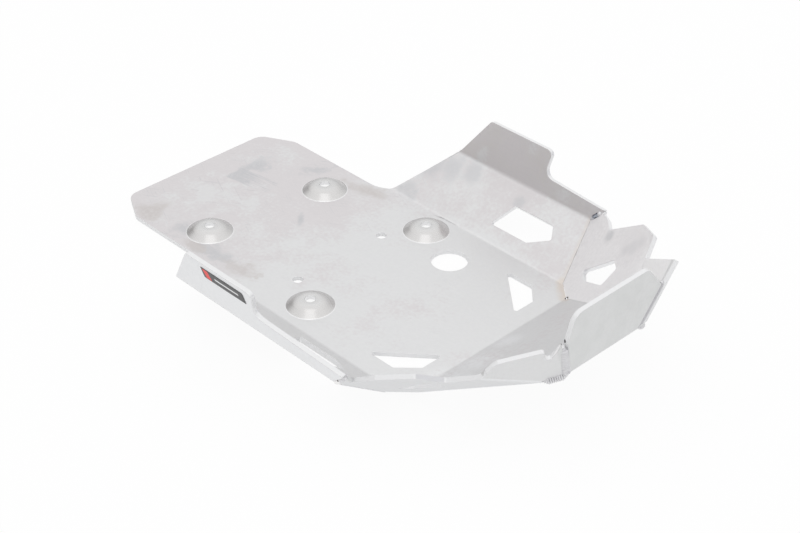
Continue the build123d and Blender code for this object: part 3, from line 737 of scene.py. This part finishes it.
# The label. A thin glossy film, black with a plain slanted bar and a slim stripe, stuck on the outer
# face of the right flange.
FILM_BLACK = (0.012, 0.012, 0.014, 1)
BAR_RED = (0.850, 0.035, 0.025, 1)
STRIPE_GREY = (0.800, 0.800, 0.810, 1)
SLANT = 0.45
BAR_PLACE = -19 * MM
BAR_HALF = 3.2 * MM
BAR_HALF_HEIGHT = 4 * MM
STRIPE_PLACE = 4 * MM
STRIPE_HALF_LENGTH = 14 * MM
STRIPE_HALF = 0.8 * MM
PRINT_EDGE = 0.2 * MM
FILM_DUST = (400, 4)
FILM_ROUGHNESS = 0.2


def printed(tree, offset, place, half):
    """Full within a half size of a place, with the soft edge of print."""
    gap = calc(tree, "ABSOLUTE", calc(tree, "SUBTRACT", offset, place))
    return rise(tree, gap, half, half - PRINT_EDGE)


def label_film():
    """Dusty black film with a red bar and a grey stripe."""
    material, tree, shader, place = new_material("label_film")
    low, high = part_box("label")
    at = axes(tree, reckon(tree, "SUBTRACT", place, (low + high) / 2))
    slanted = weigh(tree, at["X"], (at["Z"], SLANT))
    bar = both(tree, printed(tree, slanted, BAR_PLACE, BAR_HALF),
               printed(tree, at["Z"], 0.0, BAR_HALF_HEIGHT))
    stripe = both(tree, printed(tree, slanted, STRIPE_PLACE, STRIPE_HALF_LENGTH),
                  printed(tree, at["Z"], 0.0, STRIPE_HALF + PRINT_EDGE / 2))
    dust = noise(tree, place, *FILM_DUST)
    colour = tone(tree, both(tree, dust, 0.08), FILM_BLACK, STRIPE_GREY)
    colour = tone(tree, bar, colour, BAR_RED)
    colour = tone(tree, stripe, colour, STRIPE_GREY)
    feed(tree, shader.inputs["Base Color"], colour)
    feed(tree, shader.inputs["Roughness"], weigh(tree, FILM_ROUGHNESS, (dust, 0.25)))
    return material


frame["nodes"]["label"].material_slots[0].material = label_film()

# The stage. A wide white floor just under the plate, a pale sky that is brighter overhead and darker low
# down at the right rear, so that the metal has something to mirror, and one soft lamp above.
FLOOR_HALF = 6.0
FLOOR_GAP = 0.2 * MM
FLOOR_WHITE = (0.92, 0.92, 0.92, 1)
FLOOR_GLOW = (1, 1, 1, 1)
FLOOR_GLOW_SEEN = 0.92
FLOOR_GLOW_MIRRORED = 0.97
SKY_LOW = (0.70, 0.70, 0.706, 1)
SKY_HIGH = (1.10, 1.10, 1.10, 1)
SKY_FADE = (0.0, 0.88)
DARK_SIDE = (-0.83, -0.56, 0.0)
DARK_SIDE_FADE = (0.5, 0.9)
DARK_HEIGHT_FADE = (0.6, 0.25)
DARK_SHARE = 0.5
DARK_TONE = (0.05, 0.03, 0.025, 1)
LAMP_PLACE = (0.35, -0.45, 2.4)
LAMP_SIZE = 1.4
LAMP_POWER = 1.8


def white_floor():
    """Matt white that looks white itself and in the metal, and still takes the shadow of the plate."""
    material, tree, shader, place = new_material("white_floor")
    tree.nodes.remove(shader)
    matte = add(tree, "ShaderNodeBsdfDiffuse", {"Color": FLOOR_WHITE})
    glow = add(tree, "ShaderNodeEmission", {"Color": FLOOR_GLOW, "Strength": 1.0})
    path = add(tree, "ShaderNodeLightPath").outputs
    mirrored = strongest(tree, path["Is Glossy Ray"], path["Is Transmission Ray"])
    share = weigh(tree, both(tree, mirrored, FLOOR_GLOW_MIRRORED), (path["Is Camera Ray"], FLOOR_GLOW_SEEN))
    mixed = add(tree, "ShaderNodeMixShader", {0: share, 1: matte.outputs[0], 2: glow.outputs[0]})
    feed(tree, tree.nodes["Material Output"].inputs["Surface"], mixed.outputs[0])
    return material


floor_mesh = bpy.data.meshes.new("floor")
floor_ends = ((-1, -1), (1, -1), (1, 1), (-1, 1))
floor_corners = [(x * FLOOR_HALF, y * FLOOR_HALF, -FLOOR_GAP) for x, y in floor_ends]
floor_mesh.from_pydata(floor_corners, [], [(0, 1, 2, 3)])
floor_mesh.materials.append(white_floor())
floor = link("floor", floor_mesh)

world = bpy.data.worlds.new("sky")
bpy.context.scene.world = world
world.use_nodes = True
sky = world.node_tree
towards = add(sky, "ShaderNodeTexCoord").outputs["Generated"]
upwards = axes(sky, towards)["Z"]
aside = reckon(sky, "DOT_PRODUCT", towards, DARK_SIDE, "Value")
dim = both(sky, rise(sky, aside, *DARK_SIDE_FADE), rise(sky, upwards, *DARK_HEIGHT_FADE), DARK_SHARE)
sky_colour = tone(sky, rise(sky, upwards, *SKY_FADE), SKY_LOW, SKY_HIGH)
feed(sky, sky.nodes["Background"].inputs["Color"], tone(sky, dim, sky_colour, DARK_TONE))

lamp = bpy.data.lights.new("softbox", "AREA")
lamp.shape = "SQUARE"
lamp.size = LAMP_SIZE
lamp.energy = LAMP_POWER
softbox = link("softbox", lamp)
softbox.location = LAMP_PLACE
softbox.rotation_euler = (-Vector(LAMP_PLACE)).to_track_quat("-Z", "Y").to_euler()

# The camera. It stands in front of the right side, some 1.4 m off, and looks down on the tray.
CAMERA_AZIMUTH = math.radians(46.067)
CAMERA_ELEVATION = math.radians(34.531)
CAMERA_DISTANCE = 1.4276
CAMERA_AIM = Vector((0.0355, 0.0283, -0.0046))
CAMERA_LENS = 76.965
camera = bpy.data.cameras.new("camera")
camera.lens = CAMERA_LENS
camera_object = link("camera", camera)
back = Vector((
    math.sin(CAMERA_AZIMUTH) * math.cos(CAMERA_ELEVATION),
    -math.cos(CAMERA_AZIMUTH) * math.cos(CAMERA_ELEVATION),
    math.sin(CAMERA_ELEVATION),
))
camera_object.location = CAMERA_AIM + back * CAMERA_DISTANCE
camera_object.rotation_euler = (-back).to_track_quat("-Z", "Y").to_euler()
bpy.context.scene.camera = camera_object
bpy.context.scene.view_settings.view_transform = "Standard"
